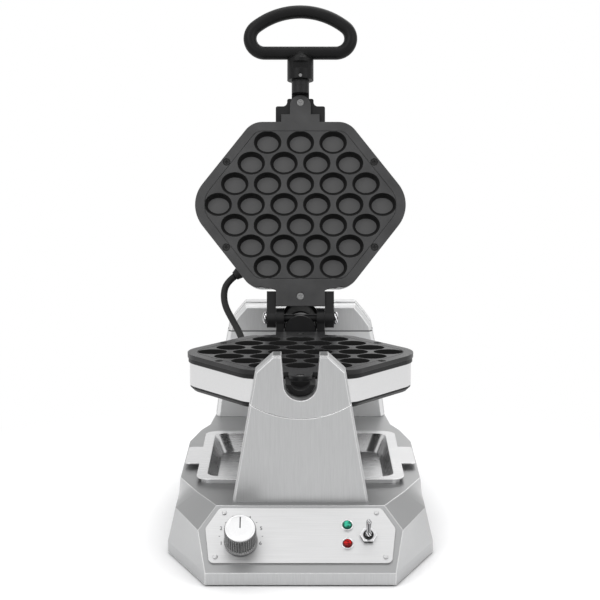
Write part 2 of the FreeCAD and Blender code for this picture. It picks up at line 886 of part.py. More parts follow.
# Lid bracket, stem and handle, in the closed position
bracket_wide = 25.7
bracket_wide_length = 17.0
bracket_narrow = 13.8
bracket_narrow_length = 8.0
bracket_rise = 22.0
bracket_corner = 2.0
bracket_fillet = 4.5
neck_front = yoke_rear - 5.2
neck_rear = neck_front - neck_length
stem_root = tab_tip - 1.0
stem_end = yoke_rear + 1.4


def make_lid_bracket():
    low = upper.level(rim_thickness)
    wide_end = -half_depth - 0.4 - bracket_wide_length
    narrow_end = wide_end - bracket_narrow_length
    plate_edge = -half_depth - 0.4
    half = [(bracket_wide, plate_edge), (bracket_wide, wide_end), (bracket_narrow, wide_end)]
    outline = both_sides(half + [(bracket_narrow, narrow_end)])
    radii = [0.2, bracket_corner, bracket_fillet, bracket_corner]
    wire = rounded_wire(outline, radii + radii[::-1], low)
    step = Part.Face(wire).extrude(V(0, 0, bracket_rise))
    ridge = box(-stem_radius, stem_radius, stem_end, narrow_end, low, low + bracket_rise - 8)
    drop = box(-stem_radius, stem_radius, stem_end, stem_root, plate_height, low + 1)
    root = rod(on_axis(stem_end), axis_y, stem_radius, stem_root - stem_end)
    bracket = step.fuse([ridge, drop, root]).removeSplitter()
    return bracket.cut(screw_solid(upper, tab_screw_places[0], screw_play))


# Half-round journal under the front tab, which rests in the yoke's notch and clears the closed lid's stem
journal_play = 0.8
journal_front = neck_front + 0.6
journal_rear = -half_depth - 1.0


def make_front_journal():
    reach = notch_radius - journal_play
    top = lower.level(rim_thickness)
    round_part = rod(on_axis(journal_front), axis_y, reach, journal_rear - journal_front)
    below = box(-reach, reach, journal_front, journal_rear, plate_height - reach, top)
    channel = rod(on_axis(journal_front - 1), axis_y, stem_radius + 0.6, tab_tip - journal_front + 0.8)
    cradle = round_part.common(below).cut(channel)
    return cradle.cut(screw_solid(lower, tab_screw_places[0], screw_play))


def make_handle_stem():
    return rod(on_axis(stem_end), -axis_y, stem_radius, neck_length * 0.7 + stem_end - neck_front)


grip_half = 52.6
grip_bar = 7.6  # middle of the lower bar beyond the neck
grip_height = 44.1
grip_arch = 75.0  # radius of the upper bar
channel_start = 3.6
channel_length = 7.5
channel_depth = 3.0


def grip_loop():
    """A straight lower bar and an arched upper bar, joined by round ends."""
    drop = grip_arch - grip_height
    spare = drop - grip_half + grip_arch
    end = math.sqrt(spare ** 2 - grip_half ** 2 - drop ** 2 + grip_arch ** 2) - spare
    bar_half = grip_half - end
    stretch = grip_arch / (grip_arch - end)
    join = (bar_half * stretch, (end + drop) * stretch - drop)

    def place(x, rise):
        return V(x, neck_rear - grip_bar - rise, plate_height)

    bar = Part.LineSegment(place(-bar_half, 0), place(bar_half, 0))
    right = Part.Arc(place(bar_half, 0), place(grip_half, end), place(*join))
    arch = Part.Arc(place(*join), place(0, grip_height), place(-join[0], join[1]))
    left = Part.Arc(place(-join[0], join[1]), place(-grip_half, end), place(-bar_half, 0))
    return Part.Wire([piece.toShape() for piece in (bar, right, arch, left)])


def make_handle_grip():
    neck = rod(on_axis(neck_rear), axis_y, neck_radius, neck_length)
    boss = Part.makeCone(neck_radius, grip_radius, grip_bar, on_axis(neck_rear), -axis_y)
    depth = plate_height - neck_radius
    start = neck_rear + channel_start
    reach = neck_radius + 1
    channel = box(-reach, reach, start, start + channel_length, depth - 1, depth + channel_depth)
    socket = rod(on_axis(neck_front + 1), -axis_y, stem_radius + run_fit, neck_length * 0.7 + 1)
    body = neck.fuse(boss).removeSplitter().cut([channel, handle_screw(screw_play), socket])
    bars = [round_bar(edge, grip_radius) for edge in grip_loop().Edges]
    return bars[0].fuse(bars[1:]).removeSplitter().fuse(body).removeSplitter()


def handle_screw(play):
    y = neck_front - 2.8
    low = plate_height - neck_radius
    mouth = 2 if play else 0
    head = rod(V(0, y, low + 0.6 - mouth), V(0, 0, 1), 1.8 + play, 1.6 + mouth)
    return head.fuse(rod(V(0, y, low + 1), V(0, 0, 1), 1.0 + play, 3.0)).removeSplitter()


def opened(shape):
    """Turn a lid piece from closed to the open rest position."""
    turned = shape.copy()
    turned.rotate(hinge_point, axis_x, -lid_open_angle)
    return turned


# Lid cable, from the lid's gland to the lower half's gland; heights are from the cooking plane
cable_radius = 3.5
cable_route = ((-80.0, 133.6, 36.2), (-78.5, 130.1, 22.7), (-71.0, 125.0, 9.5), (-63.0, 117.0, -3.0),
               (-58.5, 107.5, -14.0))
cable_lead = 10.0


def make_lid_cable():
    start, start_way = gland_end(upper)
    turn = FreeCAD.Rotation(axis_x, -lid_open_angle)
    start = hinge_point + turn.multVec(start - hinge_point)
    start_way = turn.multVec(start_way)
    stop, stop_way = gland_end(lower)
    points = [start, start + start_way * cable_lead]
    points += [V(x, y, plate_height + z) for x, y, z in cable_route]
    points += [stop + stop_way * cable_lead, stop]
    radii = [0]
    for before, here, after in zip(points, points[1:], points[2:]):
        back, ahead = before - here, after - here
        half_turn = (math.pi - back.getAngle(ahead)) / 2
        radii.append(0.45 * min(back.Length, ahead.Length) / math.tan(half_turn))
    path = arc_path(points, radii)
    print("cable bend radii", [round(radius, 1) for radius in radii[1:]], "length", round(path.Length, 1))
    print("cable points", [[round(v, 2) for v in (p.x, p.y + head_shift, p.z)] for p in points])
    solid = pipe(path, cable_radius)
    print("cable volume ratio", round(solid.Volume / (path.Length * math.pi * cable_radius ** 2), 4))
    return solid


def make_tray():
    top = deck_height + tray_rise
    lip_top = top - tray_sheet
    ears = both_sides([(tray_half + tray_ear, tray_ear_front), (tray_half + tray_ear, tray_ear_rear)])
    flange = rounded_slab(tray_rect(0), tray_corner, lip_top, top)
    flange = flange.fuse(rounded_slab(ears, ear_corner, lip_top, top)).removeSplitter()
    lip = rounded_slab(tray_rect(-tray_lip), tray_corner - tray_lip, deck_height, lip_top)
    within = tray_lip + tray_sheet
    lip = lip.cut(rounded_slab(tray_rect(-within), tray_corner - within, deck_height, lip_top))
    outer = tray_bowl(0, tray_floor, top)
    hollow = tray_bowl(tray_sheet, tray_floor + tray_sheet, top)
    return flange.fuse([lip, outer]).removeSplitter().cut(hollow)


def tray_bowl(shrink, floor, top):
    """The bowl below the rim, narrowing towards its floor."""
    corners = [tray_corner - shrink] * 4
    mouth = rounded_wire(tray_rect(-tray_flange - shrink), corners, top)
    bottom = rounded_wire(tray_rect(-tray_flange - tray_draft - shrink), corners, floor)
    return loft([bottom, mouth])


fixed_pieces = {
    "base_housing": make_base_housing, "bottom_cover": make_bottom_cover, "rubber_feet": make_feet,
    "control_panel": make_control_panel, "panel_rivets": make_rivets, "lamp_bezels": make_bezels,
    "switch_body": make_switch_body, "switch_nut": make_switch_nut, "toggle_lever": make_toggle_lever,
    "thermostat_body": make_thermostat, "dial_knob": make_knob, "dial_shaft": make_dial_shaft,
    "terminal_block": make_terminal_block, "inlet_gland": make_inlet_gland, "yoke_cap": make_yoke_cap,
    "yoke_post": make_yoke_post, "tower_front": make_tower_front, "tower_rear": make_tower_rear,
    "tower_screws": make_tower_screws, "bearing_housing": make_bearing_housing,
    "bearing_bush": make_bearing_bush, "turning_shaft": make_turning_shaft, "shaft_collar": make_shaft_collar,
    "hinge_bracket": make_hinge_bracket, "hinge_pin": make_hinge_pin, "pin_caps": make_pin_caps,
    "lid_cable": make_lid_cable, "drip_tray": make_tray,
}
for name, make in fixed_pieces.items():
    save(name, make())
save("green_lens", make_lens(green_place))
save("red_lens", make_lens(red_place))

grill_pieces = {"plate": make_plate, "frame": make_frame, "band": make_band, "cover": make_cover,
                "element": make_element, "gland": make_gland}
for name, make in grill_pieces.items():
    save("lower_" + name, make(lower))
    save("upper_" + name, opened(make(upper)))
for name, places in (("screws", plate_screw_places), ("tab_screws", tab_screw_places)):
    save("lower_" + name, make_screws(lower, places))
    save("upper_" + name, opened(make_screws(upper, places)))

lid_pieces = {"lid_arms": make_lid_arms, "lid_bracket": make_lid_bracket, "handle_stem": make_handle_stem,
              "handle_grip": make_handle_grip}
for name, make in lid_pieces.items():
    save(name, opened(make()))
save("front_journal", make_front_journal())
save("handle_screw", opened(handle_screw(0)))
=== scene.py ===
import bpy
import json
import math
from mathutils import Matrix, Vector


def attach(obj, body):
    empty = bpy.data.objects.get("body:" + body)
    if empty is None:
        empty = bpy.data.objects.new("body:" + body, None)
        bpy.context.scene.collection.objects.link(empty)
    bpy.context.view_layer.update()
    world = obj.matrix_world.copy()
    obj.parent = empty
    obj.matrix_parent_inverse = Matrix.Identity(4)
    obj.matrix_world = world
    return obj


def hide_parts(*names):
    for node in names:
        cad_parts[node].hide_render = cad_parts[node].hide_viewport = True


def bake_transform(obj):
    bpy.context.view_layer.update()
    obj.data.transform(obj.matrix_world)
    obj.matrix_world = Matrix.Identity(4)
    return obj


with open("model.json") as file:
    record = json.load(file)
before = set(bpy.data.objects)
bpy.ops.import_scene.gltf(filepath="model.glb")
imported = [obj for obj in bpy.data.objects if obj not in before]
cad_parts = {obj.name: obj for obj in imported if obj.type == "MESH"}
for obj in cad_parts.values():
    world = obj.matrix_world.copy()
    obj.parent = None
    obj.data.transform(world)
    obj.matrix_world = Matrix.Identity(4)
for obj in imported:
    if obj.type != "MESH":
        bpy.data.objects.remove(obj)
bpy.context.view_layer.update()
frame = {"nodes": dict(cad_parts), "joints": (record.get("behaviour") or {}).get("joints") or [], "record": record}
nodes = frame["nodes"]
joints = {j["name"]: j for j in frame["joints"]}
scene = bpy.context.scene
print("frame loaded:", len(nodes), "pieces")


# shader helpers
def addNode(tree, kind, **settings):
    node = tree.nodes.new(kind)
    for key, value in settings.items():
        if key in node.inputs:
            node.inputs[key].default_value = value
        else:
            setattr(node, key, value)
    return node


def startGroup(name, inputs, outputs):
    tree = bpy.data.node_groups.new(name, "ShaderNodeTree")
    for label, kind, value in inputs:
        socket = tree.interface.new_socket(label, in_out="INPUT", socket_type=kind)
        socket.default_value = value
    for label, kind in outputs:
        tree.interface.new_socket(label, in_out="OUTPUT", socket_type=kind)
    return tree, tree.nodes.new("NodeGroupInput"), tree.nodes.new("NodeGroupOutput")


def mathNode(tree, operation, first, second):
    node = tree.nodes.new("ShaderNodeMath")
    node.operation = operation
    for index, value in enumerate((first, second)):
        if isinstance(value, (int, float)):
            node.inputs[index].default_value = value
        else:
            tree.links.new(value, node.inputs[index])
    return node.outputs[0]


def stepValue(tree, source, low, high):
    node = tree.nodes.new("ShaderNodeMapRange")
    node.interpolation_type = "SMOOTHSTEP"
    rising = low < high
    node.inputs["From Min"].default_value = min(low, high)
    node.inputs["From Max"].default_value = max(low, high)
    node.inputs["To Min"].default_value = 0.0 if rising else 1.0
    node.inputs["To Max"].default_value = 1.0 if rising else 0.0
    tree.links.new(source, node.inputs["Value"])
    return node.outputs[0]


# spans of the masks and settings of the noises that the groups below share
maskLook = {"edgeSamples": 6, "edgeSpread": 9.0, "flatFace": (0.99, 0.93), "uprightEdge": (0.03, 0.12),
            "upSpan": (0.0, 0.4), "seamSpan": (0.0009, 0.0004), "deepSpan": (0.0, 0.0008),
            "bandLean": 1.3, "bandSpan": (-0.25, 0.45)}
noiseLook = {"streak": {"Scale": 1.0, "Detail": 3.0, "Roughness": 0.6},
             "cloud": {"Scale": 22.0, "Detail": 2.0}, "fine": {"Detail": 2.0, "Roughness": 0.65},
             "drift": {"Scale": 38.0, "Detail": 3.0}}


def makeSoftEdge():  # rounded edge normal, and a mask of where the edge is
    tree, start, end = startGroup("softEdge", [("Radius", "NodeSocketFloat", 0.0006)],
                                  [("Normal", "NodeSocketVector"), ("Edge", "NodeSocketFloat")])
    bevel = addNode(tree, "ShaderNodeBevel", samples=maskLook["edgeSamples"])
    tree.links.new(start.outputs["Radius"], bevel.inputs["Radius"])
    flat = tree.nodes.new("ShaderNodeNewGeometry")
    dot = addNode(tree, "ShaderNodeVectorMath", operation="DOT_PRODUCT")
    tree.links.new(bevel.outputs[0], dot.inputs[0])
    tree.links.new(flat.outputs["Normal"], dot.inputs[1])
    away = mathNode(tree, "SUBTRACT", 1.0, dot.outputs["Value"])
    mask = mathNode(tree, "MULTIPLY", away, maskLook["edgeSpread"])
    clamp = addNode(tree, "ShaderNodeClamp")
    tree.links.new(mask, clamp.inputs[0])
    tree.links.new(bevel.outputs[0], end.inputs["Normal"])
    tree.links.new(clamp.outputs[0], end.inputs["Edge"])
    return tree


def makeBrushGrain():  # long fine scratches along one direction
    tree, start, end = startGroup("brushGrain", [("Stretch", "NodeSocketVector", (30, 3000, 3000))],
                                  [("Streak", "NodeSocketFloat"), ("Cloud", "NodeSocketFloat")])
    place = tree.nodes.new("ShaderNodeTexCoord")
    scale = addNode(tree, "ShaderNodeVectorMath", operation="MULTIPLY")
    tree.links.new(place.outputs["Object"], scale.inputs[0])
    tree.links.new(start.outputs["Stretch"], scale.inputs[1])
    fine = addNode(tree, "ShaderNodeTexNoise", **noiseLook["streak"])
    tree.links.new(scale.outputs[0], fine.inputs["Vector"])
    cloud = addNode(tree, "ShaderNodeTexNoise", **noiseLook["cloud"])
    tree.links.new(place.outputs["Object"], cloud.inputs["Vector"])
    tree.links.new(fine.outputs[0], end.inputs["Streak"])
    tree.links.new(cloud.outputs[0], end.inputs["Cloud"])
    return tree


def makeSpeckle():  # grainy coating or moulded texture, with slow shade drift
    tree, start, end = startGroup("speckle", [("Grain", "NodeSocketFloat", 2500.0)],
                                  [("Fine", "NodeSocketFloat"), ("Drift", "NodeSocketFloat")])
    place = tree.nodes.new("ShaderNodeTexCoord")
    fine = addNode(tree, "ShaderNodeTexNoise", **noiseLook["fine"])
    tree.links.new(place.outputs["Object"], fine.inputs["Vector"])
    tree.links.new(start.outputs["Grain"], fine.inputs["Scale"])
    drift = addNode(tree, "ShaderNodeTexNoise", **noiseLook["drift"])
    tree.links.new(place.outputs["Object"], drift.inputs["Vector"])
    tree.links.new(fine.outputs[0], end.inputs["Fine"])
    tree.links.new(drift.outputs[0], end.inputs["Drift"])
    return tree


def makeWallMask():  # one on the sloping walls of the pockets, nothing on flat faces and upright edges
    tree, start, end = startGroup("wallMask", [("Facing", "NodeSocketVector", (0, 0, 1))],
                                  [("Wall", "NodeSocketFloat")])
    place = tree.nodes.new("ShaderNodeTexCoord")
    dot = addNode(tree, "ShaderNodeVectorMath", operation="DOT_PRODUCT")
    tree.links.new(place.outputs["Normal"], dot.inputs[0])
    tree.links.new(start.outputs["Facing"], dot.inputs[1])
    slant = mathNode(tree, "ABSOLUTE", dot.outputs["Value"], 0.0)
    steep = stepValue(tree, slant, *maskLook["flatFace"])
    leaning = stepValue(tree, slant, *maskLook["uprightEdge"])
    tree.links.new(mathNode(tree, "MULTIPLY", steep, leaning), end.inputs["Wall"])
    return tree


def makeUpMask():  # one on faces that look up at the dim ceiling
    tree, start, end = startGroup("upMask", [("From", "NodeSocketFloat", 0.3)], [("Up", "NodeSocketFloat")])
    place = tree.nodes.new("ShaderNodeTexCoord")
    split = tree.nodes.new("ShaderNodeSeparateXYZ")
    tree.links.new(place.outputs["Normal"], split.inputs[0])
    level = mathNode(tree, "SUBTRACT", split.outputs[2], start.outputs["From"])
    tree.links.new(stepValue(tree, level, *maskLook["upSpan"]), end.inputs["Up"])
    return tree


def makeLevelLine():  # a thin seam drawn round a piece at one height
    tree, start, end = startGroup("levelLine", [("Level", "NodeSocketFloat", 0.15)],
                                  [("Line", "NodeSocketFloat")])
    place = tree.nodes.new("ShaderNodeTexCoord")
    split = tree.nodes.new("ShaderNodeSeparateXYZ")
    tree.links.new(place.outputs["Object"], split.inputs[0])
    height = mathNode(tree, "SUBTRACT", split.outputs[2], start.outputs["Level"])
    away = mathNode(tree, "ABSOLUTE", height, 0.0)
    tree.links.new(stepValue(tree, away, *maskLook["seamSpan"]), end.inputs["Line"])
    return tree


def makeDeepMask():  # one on surfaces lower than a level, measured along a facing direction
    inputs = [("Facing", "NodeSocketVector", (0, 0, 1)), ("Level", "NodeSocketFloat", 0.0)]
    tree, start, end = startGroup("deepMask", inputs, [("Deep", "NodeSocketFloat")])
    place = tree.nodes.new("ShaderNodeTexCoord")
    dot = addNode(tree, "ShaderNodeVectorMath", operation="DOT_PRODUCT")
    tree.links.new(place.outputs["Object"], dot.inputs[0])
    tree.links.new(start.outputs["Facing"], dot.inputs[1])
    below = mathNode(tree, "SUBTRACT", start.outputs["Level"], dot.outputs["Value"])
    tree.links.new(stepValue(tree, below, *maskLook["deepSpan"]), end.inputs["Deep"])
    return tree


def makeMirrorBands():  # dark bands that polished metal shows from a studio's unlit parts
    tree, start, end = startGroup("mirrorBands", [("Turns", "NodeSocketFloat", 7.0)],
                                  [("Dark", "NodeSocketFloat")])
    place = tree.nodes.new("ShaderNodeTexCoord")
    split = tree.nodes.new("ShaderNodeSeparateXYZ")
    tree.links.new(place.outputs["Normal"], split.inputs[0])
    sideways = mathNode(tree, "MULTIPLY", split.outputs[0], maskLook["bandLean"])
    lean = mathNode(tree, "ADD", sideways, split.outputs[2])
    wave = mathNode(tree, "SINE", mathNode(tree, "MULTIPLY", lean, start.outputs["Turns"]), 0.0)
    tree.links.new(stepValue(tree, wave, *maskLook["bandSpan"]), end.inputs["Dark"])
    return tree


softEdge = makeSoftEdge()
deepMask = makeDeepMask()
mirrorBands = makeMirrorBands()
wallMask = makeWallMask()
levelLine = makeLevelLine()
upMask = makeUpMask()
brushGrain = makeBrushGrain()
speckle = makeSpeckle()


def placeGroup(tree, group, **values):
    node = tree.nodes.new("ShaderNodeGroup")
    node.node_tree = group
    for key, value in values.items():
        node.inputs[key].default_value = value
    return node


def startMaterial(name, **plain):
    material = bpy.data.materials.new(name)
    material.use_nodes = True
    tree = material.node_tree
    shader = tree.nodes["Principled BSDF"]
    for key, value in plain.items():
        shader.inputs[key.replace("_", " ")].default_value = value
    return material, tree, shader


noiseSpan = (0.3, 0.7)  # where most of a noise's values lie


def rampColor(tree, source, low, high, span=noiseSpan):
    ramp = tree.nodes.new("ShaderNodeValToRGB")
    ramp.color_ramp.elements[0].position = span[0]
    ramp.color_ramp.elements[1].position = span[1]
    ramp.color_ramp.elements[0].color = (*low, 1)
    ramp.color_ramp.elements[1].color = (*high, 1)
    tree.links.new(source, ramp.inputs[0])
    return ramp.outputs[0]


def rampValue(tree, source, low, high):
    node = tree.nodes.new("ShaderNodeMapRange")
    node.inputs["From Min"].default_value = noiseSpan[0]
    node.inputs["From Max"].default_value = noiseSpan[1]
    node.inputs["To Min"].default_value = low
    node.inputs["To Max"].default_value = high
    tree.links.new(source, node.inputs["Value"])
    return node.outputs[0]


def mixColor(tree, factor, first, second):
    node = tree.nodes.new("ShaderNodeMix")
    node.data_type = "RGBA"
    tree.links.new(factor, node.inputs["Factor"])
    tree.links.new(first, node.inputs[6])
    node.inputs[7].default_value = (*second, 1)
    return node.outputs[2]


def bumpNormal(tree, height, strength, distance, normal):
    bump = addNode(tree, "ShaderNodeBump", Strength=strength, Distance=distance)
    tree.links.new(height, bump.inputs["Height"])
    tree.links.new(normal, bump.inputs["Normal"])
    return bump.outputs[0]


# finishes; what a user would change is in each dictionary
# each finish's edge colour is painted along its rounded edges: a painted highlight, and a painted darker edge on
# the panel and rivets
metalFinish = {
    "satinMetal": {"low": (0.46, 0.463, 0.466), "high": (0.52, 0.523, 0.526), "edge": (1.0, 1.0, 1.0),
                   "rough": (0.34, 0.44), "stretch": (2200, 2200, 60), "metal": 0.9, "bump": 0.04,
                   "radius": 0.0013, "top": (0.30, 0.302, 0.304)},
    # towerMetal is the satin silver painted lighter to offset the shade the grill head casts on the tower; its
    # under colour paints the tower below the seam lighter still
    "towerMetal": {"low": (0.60, 0.603, 0.606), "high": (0.68, 0.683, 0.686), "edge": (1.0, 1.0, 1.0),
                   "rough": (0.34, 0.44), "stretch": (2200, 2200, 60), "metal": 0.9, "bump": 0.04,
                   "radius": 0.0013, "seam": 0.1525, "under": (0.76, 0.763, 0.766)},
    "towerBack": {"low": (0.56, 0.563, 0.566), "high": (0.63, 0.633, 0.636), "edge": (1.0, 1.0, 1.0),
                  "rough": (0.34, 0.44), "stretch": (2200, 2200, 60), "metal": 0.9, "bump": 0.04,
                  "radius": 0.0013, "seam": 0.1525},
    "traySteel": {"low": (0.58, 0.58, 0.585), "high": (0.66, 0.66, 0.665), "edge": (0.9, 0.9, 0.9),
                  "rough": (0.20, 0.32), "stretch": (28, 1500, 2600), "metal": 1.0, "bump": 0.06},
    "bandSteel": {"low": (0.67, 0.67, 0.673), "high": (0.76, 0.76, 0.763), "edge": (0.85, 0.85, 0.86),
                  "rough": (0.30, 0.42), "stretch": (1800, 1800, 1800), "metal": 0.95, "bump": 0.05},
    "panelSteel": {"low": (0.50, 0.50, 0.503), "high": (0.57, 0.57, 0.573), "edge": (0.06, 0.06, 0.06),
                   "rough": (0.36, 0.48), "stretch": (24, 2400, 2400), "metal": 0.9, "bump": 0.06,
                   "radius": 0.0009},
    "chrome": {"low": (0.66, 0.66, 0.67), "high": (0.76, 0.76, 0.77), "edge": (0.9, 0.9, 0.9),
               "rough": (0.07, 0.16), "stretch": (400, 400, 400), "metal": 1.0, "bump": 0.01},
    "turnedAluminium": {"low": (0.66, 0.66, 0.665), "high": (0.71, 0.71, 0.715), "edge": (0.85, 0.85, 0.85),
                        "rough": (0.30, 0.36), "stretch": (900, 900, 900), "metal": 0.95, "bump": 0.004},
    "switchChrome": {"low": (0.62, 0.62, 0.63), "high": (0.74, 0.74, 0.75), "edge": (0.9, 0.9, 0.9),
                     "rough": (0.10, 0.18), "stretch": (400, 400, 400), "metal": 1.0, "bump": 0.01,
                     "bands": (0.045, 0.045, 0.047)},
    "rivetSteel": {"low": (0.44, 0.44, 0.443), "high": (0.54, 0.54, 0.543), "edge": (0.14, 0.14, 0.14),
                   "rough": (0.28, 0.40), "stretch": (900, 900, 900), "metal": 0.95, "bump": 0.02},
    "screwSteel": {"low": (0.17, 0.17, 0.17), "high": (0.26, 0.26, 0.26), "edge": (0.45, 0.45, 0.45),
                   "rough": (0.28, 0.42), "stretch": (900, 900, 900), "metal": 1.0, "bump": 0.02,
                   "radius": 0.0003},
    "knobRib": {"low": (0.11, 0.11, 0.11), "high": (0.16, 0.16, 0.16), "edge": (0.75, 0.75, 0.75),
                "rough": (0.24, 0.36), "stretch": (900, 900, 900), "metal": 1.0, "bump": 0.03},
    "elementSteel": {"low": (0.25, 0.25, 0.25), "high": (0.36, 0.35, 0.34), "edge": (0.45, 0.45, 0.45),
                     "rough": (0.4, 0.55), "stretch": (300, 300, 300), "metal": 1.0, "bump": 0.02},
    "bronze": {"low": (0.42, 0.27, 0.12), "high": (0.55, 0.37, 0.18), "edge": (0.65, 0.47, 0.26),
               "rough": (0.28, 0.4), "stretch": (900, 60, 900), "metal": 1.0, "bump": 0.03},
}
metalSheenShadeAndGrain = {"edgeRadius": 0.0007, "ceilingFrom": 0.35, "edgeLightLeast": 0.3, "streakShare": 0.6,
             "bumpDepth": 0.0004, "seamTint": (0.10, 0.10, 0.10)}
lidTilt = math.radians(15.7)  # the open lid leans back from upright
darkFinish = {
    # painted light in the plate coats: the wall colour is painted shade on the pocket walls, the floor colour
    # painted light on the pocket floors, and lidCoat is the plate coating painted lighter than plateCoat
    "lidCoat": {"low": (0.040, 0.040, 0.041), "high": (0.066, 0.066, 0.067), "edge": (0.09, 0.09, 0.091),
                "rough": (0.40, 0.54), "grain": 1700.0, "bump": 0.20, "gloss": 0.35,
                "facing": (0, -math.cos(lidTilt), math.sin(lidTilt)), "wall": (0.006, 0.006, 0.006),
                "floor": (0.110, 0.110, 0.111)},
    "plateCoat": {"low": (0.022, 0.022, 0.023), "high": (0.040, 0.040, 0.041), "edge": (0.06, 0.06, 0.061),
                  "rough": (0.30, 0.44), "grain": 1700.0, "bump": 0.20, "gloss": 0.25,
                  "facing": (0, 0, 1), "wall": (0.009, 0.009, 0.009), "floor": (0.030, 0.030, 0.031)},
    "castDark": {"low": (0.009, 0.009, 0.0095), "high": (0.017, 0.017, 0.0175), "edge": (0.04, 0.04, 0.041),
                 "rough": (0.40, 0.54), "grain": 1400.0, "bump": 0.16, "gloss": 0.22},
    "handlePlastic": {"low": (0.004, 0.004, 0.0042), "high": (0.008, 0.008, 0.0083),
                      "edge": (0.02, 0.02, 0.02), "rough": (0.36, 0.48), "grain": 2600.0, "bump": 0.12,
                      "gloss": 0.16},
    "boreDark": {"low": (0.003, 0.003, 0.003), "high": (0.006, 0.006, 0.006), "edge": (0.01, 0.01, 0.01),
                 "rough": (0.6, 0.8), "grain": 1800.0, "bump": 0.10, "gloss": 0.03},
    "darkPlastic": {"low": (0.008, 0.008, 0.008), "high": (0.016, 0.016, 0.016), "edge": (0.03, 0.03, 0.03),
                    "rough": (0.45, 0.6), "grain": 2200.0, "bump": 0.10, "gloss": 0.3},
    "rubber": {"low": (0.010, 0.010, 0.010), "high": (0.020, 0.020, 0.020), "edge": (0.03, 0.03, 0.03),
               "rough": (0.5, 0.68), "grain": 1800.0, "bump": 0.12, "gloss": 0.3},
}
darkEdgeAndSurface = {"edgeRadius": 0.0008, "wallRough": 0.9, "bumpDepth": 0.0003}
pocketPlates = {"lidCoat": "upper_plate", "plateCoat": "lower_plate"}
pocketDrop = 0.0074  # from a plate's face to just above its pocket floors
for name, plate in pocketPlates.items():
    facing = Vector(darkFinish[name]["facing"])
    face = max(v.co.dot(facing) for v in nodes[plate].data.vertices)
    darkFinish[name]["level"] = face - pocketDrop


def makeMetal(name, look):
    material, tree, shader = startMaterial(name, Metallic=look["metal"])
    grain = placeGroup(tree, brushGrain, Stretch=look["stretch"])
    edge = placeGroup(tree, softEdge, Radius=look.get("radius", metalSheenShadeAndGrain["edgeRadius"]))
    base = rampColor(tree, grain.outputs["Streak"], look["low"], look["high"])
    # painted shade: faces that look up are mixed toward the darker top colour
    if "top" in look:
        ceiling = placeGroup(tree, upMask, From=metalSheenShadeAndGrain["ceilingFrom"])
        base = mixColor(tree, ceiling.outputs["Up"], base, look["top"])
    patch = mathNode(tree, "ADD", grain.outputs["Cloud"], metalSheenShadeAndGrain["edgeLightLeast"])
    # painted highlight along rounded edges, in the edge colour, broken up by the cloud noise
    paintedEdgeLight = mathNode(tree, "MULTIPLY", edge.outputs["Edge"], patch)
    tint = mixColor(tree, paintedEdgeLight, base, look["edge"])
    if "bands" in look:
        tint = mixColor(tree, placeGroup(tree, mirrorBands).outputs["Dark"], tint, look["bands"])
    if "seam" in look:
        # painted light: below the seam the tower is mixed toward the lighter under colour
        if "under" in look:
            under = placeGroup(tree, deepMask, Level=look["seam"])
            tint = mixColor(tree, under.outputs["Deep"], tint, look["under"])
        line = placeGroup(tree, levelLine, Level=look["seam"])
        tint = mixColor(tree, line.outputs["Line"], tint, metalSheenShadeAndGrain["seamTint"])
    tree.links.new(tint, shader.inputs["Base Color"])
    share = metalSheenShadeAndGrain["streakShare"]
    mixed = mathNode(tree, "ADD", mathNode(tree, "MULTIPLY", grain.outputs["Streak"], share),
                     mathNode(tree, "MULTIPLY", grain.outputs["Cloud"], 1 - share))
    tree.links.new(rampValue(tree, mixed, *look["rough"]), shader.inputs["Roughness"])
    depth = metalSheenShadeAndGrain["bumpDepth"]
    normal = bumpNormal(tree, grain.outputs["Streak"], look["bump"], depth, edge.outputs["Normal"])
    tree.links.new(normal, shader.inputs["Normal"])
    return material


def makeDark(name, look):
    material, tree, shader = startMaterial(name, Specular_IOR_Level=look["gloss"])
    grain = placeGroup(tree, speckle, Grain=look["grain"])
    edge = placeGroup(tree, softEdge, Radius=darkEdgeAndSurface["edgeRadius"])
    base = rampColor(tree, grain.outputs["Drift"], look["low"], look["high"])
    # painted highlight along rounded edges, in the edge colour
    paintedEdgeLight = mathNode(tree, "MULTIPLY", edge.outputs["Edge"], grain.outputs["Drift"])
    tint = mixColor(tree, paintedEdgeLight, base, look["edge"])
    rough = rampValue(tree, grain.outputs["Fine"], *look["rough"])
    # painted highlight: the pocket floors get the floor colour
    if "floor" in look:
        deep = placeGroup(tree, deepMask, Facing=look["facing"], Level=look["level"])
        tint = mixColor(tree, deep.outputs["Deep"], tint, look["floor"])
    # painted shade: the sloping pocket walls get the dark wall colour
    if "facing" in look:
        wall = placeGroup(tree, wallMask, Facing=look["facing"])
        tint = mixColor(tree, wall.outputs["Wall"], tint, look["wall"])
        dull = mathNode(tree, "MULTIPLY", wall.outputs["Wall"], darkEdgeAndSurface["wallRough"])
        rough = mathNode(tree, "MAXIMUM", rough, dull)
    tree.links.new(tint, shader.inputs["Base Color"])
    tree.links.new(rough, shader.inputs["Roughness"])
    depth = darkEdgeAndSurface["bumpDepth"]
    normal = bumpNormal(tree, grain.outputs["Fine"], look["bump"], depth, edge.outputs["Normal"])
    tree.links.new(normal, shader.inputs["Normal"])
    return material


panelOut = Vector(joints["dial_turn"]["axis"]).normalized()  # out of the sloping control panel
lensFinish = {"greenLens": (0.042, 0.43, 0.28), "redLens": (0.50, 0.011, 0.010)}
lensLook = {"grain": 420.0, "deep": 0.25, "pale": 1.5, "span": (0.38, 0.62), "rough": (0.10, 0.22),
            "plain": {"Coat_Weight": 0.05, "Coat_Roughness": 0.06, "Specular_IOR_Level": 0.15}}


